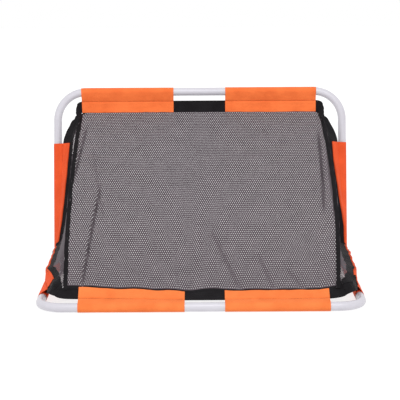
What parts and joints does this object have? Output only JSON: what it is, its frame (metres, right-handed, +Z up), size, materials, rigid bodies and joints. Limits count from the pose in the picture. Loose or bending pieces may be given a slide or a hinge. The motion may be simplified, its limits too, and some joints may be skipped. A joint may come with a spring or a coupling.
{
  "type": "soccer goal frame",
  "caption": "Small folding soccer goal: a white tube floor frame and a hinged upright frame, with orange cloth sleeves, black webbing and a sloping black net",
  "frame": {"origin": "on the floor, midway between the axes of the rear bar and the top bar, on the plane halfway between the two sides", "axes": "+X along the bars, +Y out of the goal mouth, +Z up"},
  "size_m": [0.9362, 0.7132, 0.5535],
  "materials": {
    "white_steel": "white powder coat",
    "black_steel": "black powder coat",
    "zinc": "zinc plated",
    "plug": "matte black",
    "orange_cloth": "woven, satin",
    "webbing": "woven, matte",
    "net": "knotless mesh"
  },
  "bodies": {
    "ground_frame": {"ground_tube": "white_steel", "hinge_bracket_left": "black_steel", "hinge_bracket_right": "black_steel", "pivot_bolt_left": "zinc", "pivot_bolt_right": "zinc", "pivot_nut_left": "zinc", "pivot_nut_right": "zinc", "outer_washer_left": "zinc", "outer_washer_right": "zinc", "inner_washer_left": "zinc", "inner_washer_right": "zinc", "rear_rivet_left": "zinc", "rear_rivet_right": "zinc", "front_rivet_left": "zinc", "front_rivet_right": "zinc", "ground_plug_left": "plug", "ground_plug_right": "plug", "rear_sleeve_left": "orange_cloth", "rear_sleeve_right": "orange_cloth", "side_sleeve_left": "orange_cloth", "side_sleeve_right": "orange_cloth", "lower_webbing": "webbing", "corner_webbing_left": "webbing", "corner_webbing_right": "webbing", "back_net": "net", "seam_binding_left": "webbing", "seam_binding_right": "webbing", "side_net_left": "net", "side_net_right": "net"},
    "upright_frame": {"upright_tube": "white_steel", "post_plug_left": "plug", "post_plug_right": "plug", "top_sleeve_left": "orange_cloth", "top_sleeve_right": "orange_cloth", "post_sleeve_left": "orange_cloth", "post_sleeve_right": "orange_cloth", "upper_webbing": "webbing"}
  },
  "joints": [
    {"name": "fold", "type": "hinge", "parent": "ground_frame", "child": "upright_frame", "pos_m": [0, 0.2481, 0.044], "axis": [1, 0, 0], "range_deg": [0, 100.8], "deforming": ["back_net", "side_net_left", "side_net_right", "seam_binding_left", "seam_binding_right", "corner_webbing_left", "corner_webbing_right", "upper_webbing", "lower_webbing", "post_sleeve_left", "post_sleeve_right", "side_sleeve_left", "side_sleeve_right"]}
  ]
}
